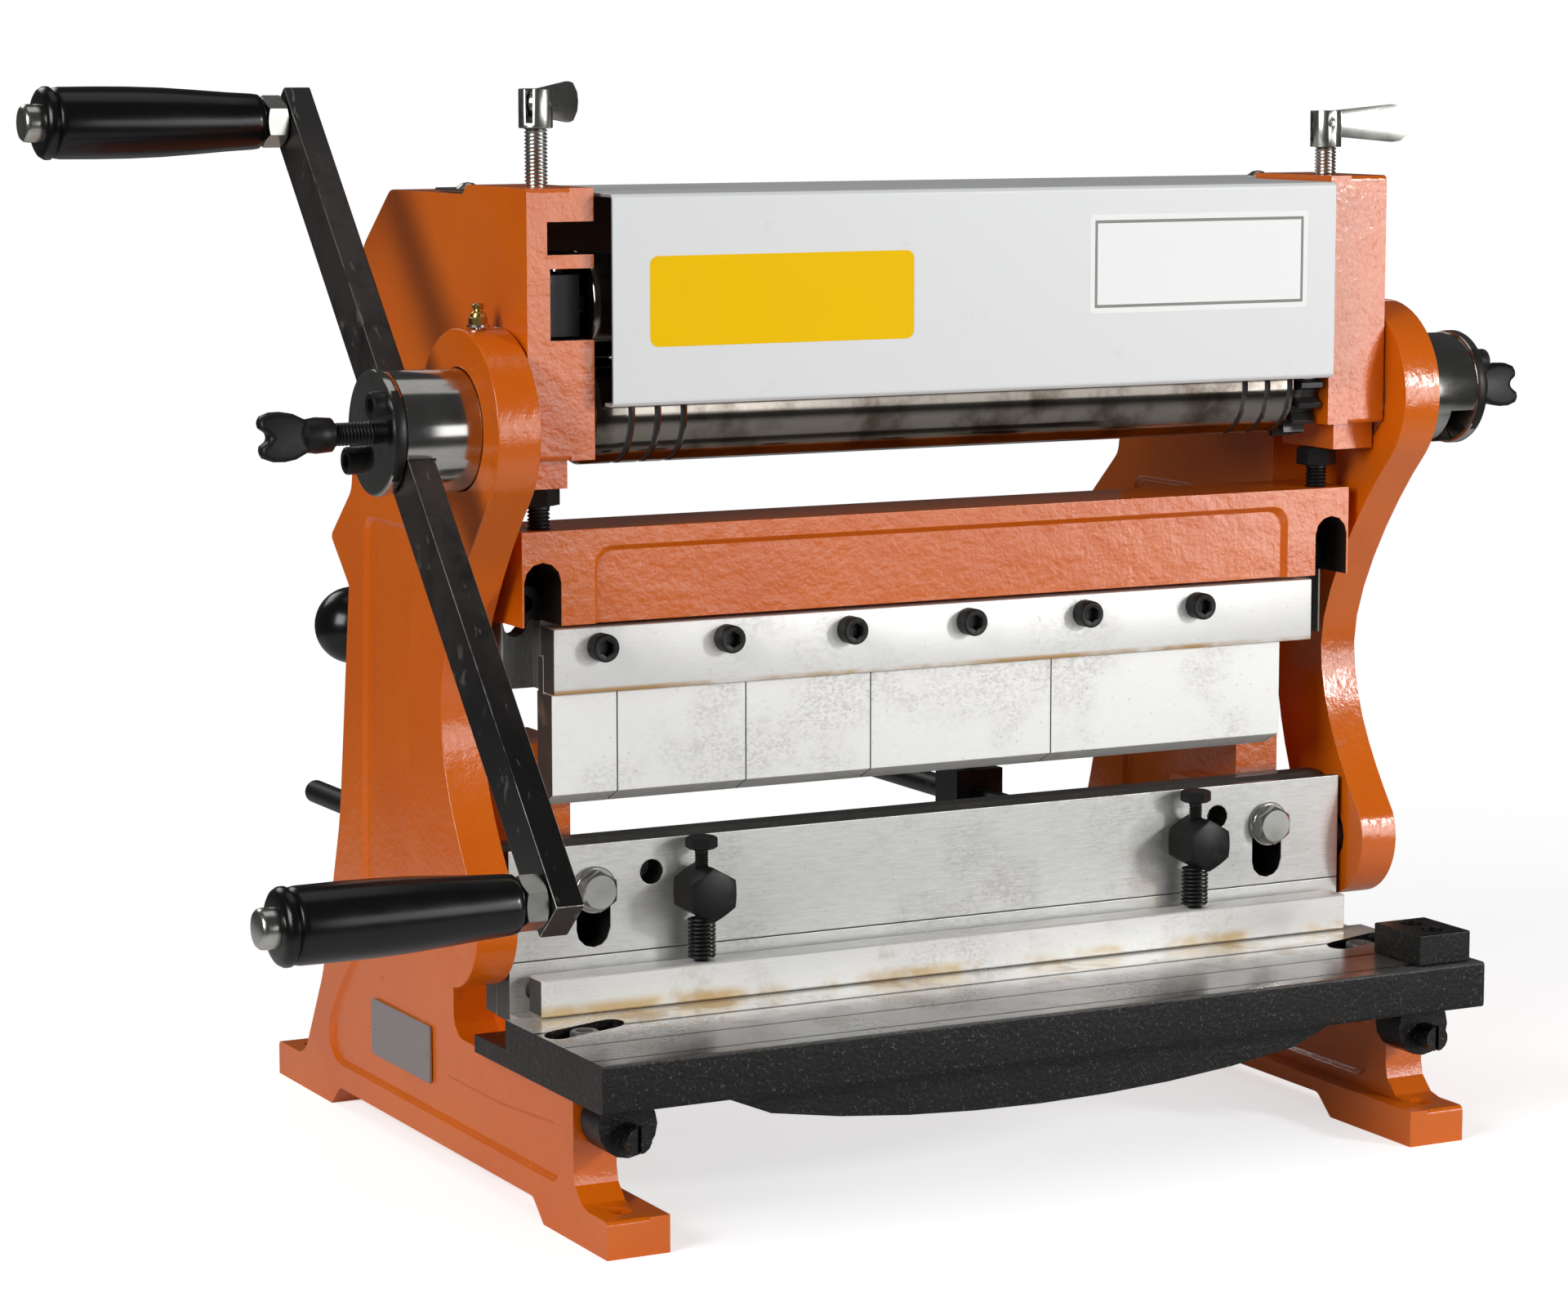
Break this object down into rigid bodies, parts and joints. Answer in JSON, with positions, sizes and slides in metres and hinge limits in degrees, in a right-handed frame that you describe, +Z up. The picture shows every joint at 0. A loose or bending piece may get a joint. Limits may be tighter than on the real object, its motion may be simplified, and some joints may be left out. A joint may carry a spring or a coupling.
{
  "type": "combination sheet metal machine",
  "caption": "Bench machine that shears, folds and rolls thin sheet: side frames, table with blades, die and finger brake, geared rolls under a guard and a bar crank with eccentric hubs.",
  "frame": {"origin": "middle of the machine's box, on the bench", "axes": "+X to the machine's right along the rolls, +Y to its back, +Z up"},
  "size_m": [0.569, 0.4662, 0.3929],
  "materials": {
    "orange_enamel": "glossy, slightly uneven enamel",
    "ground_steel": "ground, with light stains",
    "blade_steel": "ground, darker",
    "black_casting": "cast body, ground top",
    "black_oxide": "black oxide on steel",
    "black_grip": "glossy black",
    "chrome": "bright plated",
    "brass": "bright",
    "grey_paint": "light grey, satin"
  },
  "bodies": {
    "frame": {"left_frame": "orange_enamel", "right_frame": "orange_enamel", "small_plate": "ground_steel", "table": "black_casting", "lower_blade": "ground_steel", "squaring_block": "black_oxide", "left_guide_bolt": "chrome", "right_guide_bolt": "chrome", "left_jack_bolt": "black_oxide", "right_jack_bolt": "black_oxide", "guard": "grey_paint"},
    "crank": {"lower_roll": "ground_steel", "lower_gear": "black_oxide", "left_hub": "chrome", "right_hub": "chrome", "left_hub_cap": "chrome", "right_hub_cap": "chrome"},
    "left_wing": {"left_wing_screw": "black_oxide"},
    "right_wing": {"right_wing_screw": "black_oxide"},
    "crank_arm": {"crank_bar": "black_oxide", "upper_spindle": "chrome", "lower_spindle": "chrome"},
    "upper_handle": {"upper_grip": "black_grip"},
    "lower_handle": {"lower_grip": "black_grip"},
    "left_link": {"left_rod": "orange_enamel", "left_nipple": "brass"},
    "right_link": {"right_rod": "orange_enamel", "right_nipple": "brass"},
    "ram": {"ram": "ground_steel", "upper_blade": "blade_steel", "left_stud": "black_oxide", "right_stud": "black_oxide", "left_spring": "black_oxide", "right_spring": "black_oxide", "left_gauge_rod": "black_oxide", "right_gauge_rod": "black_oxide"},
    "hold_down": {"hold_down_bar": "ground_steel", "left_hold_screw": "black_oxide", "right_hold_screw": "black_oxide"},
    "gauge": {"back_gauge": "blade_steel"},
    "roll_blocks": {"left_bearing_block": "ground_steel", "right_bearing_block": "ground_steel"},
    "top_roll": {"upper_roll": "ground_steel", "upper_gear": "black_oxide"},
    "left_clamp": {"left_clamp_screw": "ground_steel"},
    "right_clamp": {"right_clamp_screw": "ground_steel"},
    "left_tab": {"left_paddle": "ground_steel"},
    "right_tab": {"right_paddle": "ground_steel"},
    "rear_slide": {"left_slide_block": "ground_steel", "right_slide_block": "ground_steel"},
    "idler": {"rear_roll": "ground_steel"},
    "left_knob": {"left_knob_screw": "black_oxide"},
    "right_knob": {"right_knob_screw": "black_oxide"},
    "beam": {"upper_beam": "orange_enamel", "clamp_bar": "ground_steel", "finger_1": "ground_steel", "finger_2": "ground_steel", "finger_3": "ground_steel", "finger_4": "ground_steel", "finger_5": "ground_steel"}
  },
  "joints": [
    {"name": "crank_turn", "type": "hinge", "parent": "frame", "child": "crank", "pos_m": [0.0313, -0.09537, 0.2795], "axis": [1, 0, 0], "range_deg": [0, 180]},
    {"name": "crank_arm_slide", "type": "slide", "parent": "crank", "child": "crank_arm", "axis": [0, 0.6659, 0.7461], "range_m": [-0.05, 0.05]},
    {"name": "upper_grip_spin", "type": "hinge", "parent": "crank_arm", "child": "upper_handle", "pos_m": [-0.2387, -0.00295, 0.37855], "axis": [1, 0, 0], "continuous": true},
    {"name": "lower_grip_spin", "type": "hinge", "parent": "crank_arm", "child": "lower_handle", "pos_m": [-0.2387, -0.22043, 0.13489], "axis": [1, 0, 0], "continuous": true},
    {"name": "left_wing_turn", "type": "hinge", "parent": "crank", "child": "left_wing", "pos_m": [0.0313, -0.09537, 0.275], "axis": [1, 0, 0], "range_deg": [-360, 360]},
    {"name": "right_wing_turn", "type": "hinge", "parent": "crank", "child": "right_wing", "pos_m": [0.0313, -0.09537, 0.275], "axis": [1, 0, 0], "range_deg": [-360, 360]},
    {"name": "left_link_turn", "type": "hinge", "parent": "crank", "child": "left_link", "pos_m": [0.0313, -0.09537, 0.275], "axis": [1, 0, 0], "range_deg": [-180, 0]},
    {"name": "right_link_turn", "type": "hinge", "parent": "crank", "child": "right_link", "pos_m": [0.0313, -0.09537, 0.275], "axis": [1, 0, 0], "range_deg": [-180, 0]},
    {"name": "ram_slide", "type": "slide", "parent": "frame", "child": "ram", "axis": [0, 0, 1], "range_m": [0, 0.009]},
    {"name": "hold_down_slide", "type": "slide", "parent": "ram", "child": "hold_down", "axis": [0, 0, 1], "range_m": [-0.0065, 0], "deforming": ["left_spring", "right_spring"]},
    {"name": "back_gauge_slide", "type": "slide", "parent": "ram", "child": "gauge", "axis": [0, 1, 0], "range_m": [-0.112, 0.11]},
    {"name": "upper_roll_lift", "type": "slide", "parent": "frame", "child": "roll_blocks", "axis": [0, 0, 1], "range_m": [0, 0.0015]},
    {"name": "upper_roll_turn", "type": "hinge", "parent": "roll_blocks", "child": "top_roll", "pos_m": [0.0313, -0.09537, 0.3168], "axis": [1, 0, 0], "range_deg": [-180, 0]},
    {"name": "left_clamp_turn", "type": "hinge", "parent": "frame", "child": "left_clamp", "pos_m": [-0.1317, -0.09537, 0.3858], "axis": [0, 0, 1], "range_deg": [-360, 360]},
    {"name": "right_clamp_turn", "type": "hinge", "parent": "frame", "child": "right_clamp", "pos_m": [0.1943, -0.09537, 0.3763], "axis": [0, 0, 1], "range_deg": [-360, 360]},
    {"name": "left_paddle_fold", "type": "hinge", "parent": "left_clamp", "child": "left_tab", "pos_m": [-0.1317, -0.09537, 0.3858], "axis": [-0.6691, 0.7431, 0], "range_deg": [-170, 0]},
    {"name": "right_paddle_fold", "type": "hinge", "parent": "right_clamp", "child": "right_tab", "pos_m": [0.1943, -0.09537, 0.3763], "axis": [0.1736, 0.9848, 0], "range_deg": [-170, 0]},
    {"name": "rear_roll_slide", "type": "slide", "parent": "frame", "child": "rear_slide", "axis": [0, -0.6691, 0.7431], "range_m": [-0.01, 0.01]},
    {"name": "rear_roll_spin", "type": "hinge", "parent": "rear_slide", "child": "idler", "pos_m": [0.0313, -0.01429, 0.28281], "axis": [1, 0, 0], "continuous": true},
    {"name": "left_knob_turn", "type": "hinge", "parent": "rear_slide", "child": "left_knob", "pos_m": [-0.1342, 0.05263, 0.2085], "axis": [0, -0.6691, 0.7431], "range_deg": [-720, 720]},
    {"name": "right_knob_turn", "type": "hinge", "parent": "rear_slide", "child": "right_knob", "pos_m": [0.1968, 0.05263, 0.2085], "axis": [0, -0.6691, 0.7431], "range_deg": [-720, 720]},
    {"name": "upper_beam_slide", "type": "slide", "parent": "frame", "child": "beam", "axis": [0, 0, 1], "range_m": [-0.004, 0]}
  ],
  "couplings": [
    {"joint": "upper_roll_turn", "follows": "crank_turn", "ratio": -1},
    {"joint": "left_link_turn", "follows": "crank_turn", "ratio": -1},
    {"joint": "right_link_turn", "follows": "crank_turn", "ratio": -1},
    {"joint": "ram_slide", "follows": "crank_turn", "m_per_rad": 0.0028647},
    {"joint": "hold_down_slide", "follows": "crank_turn", "m_per_rad": -0.0020689}
  ]
}
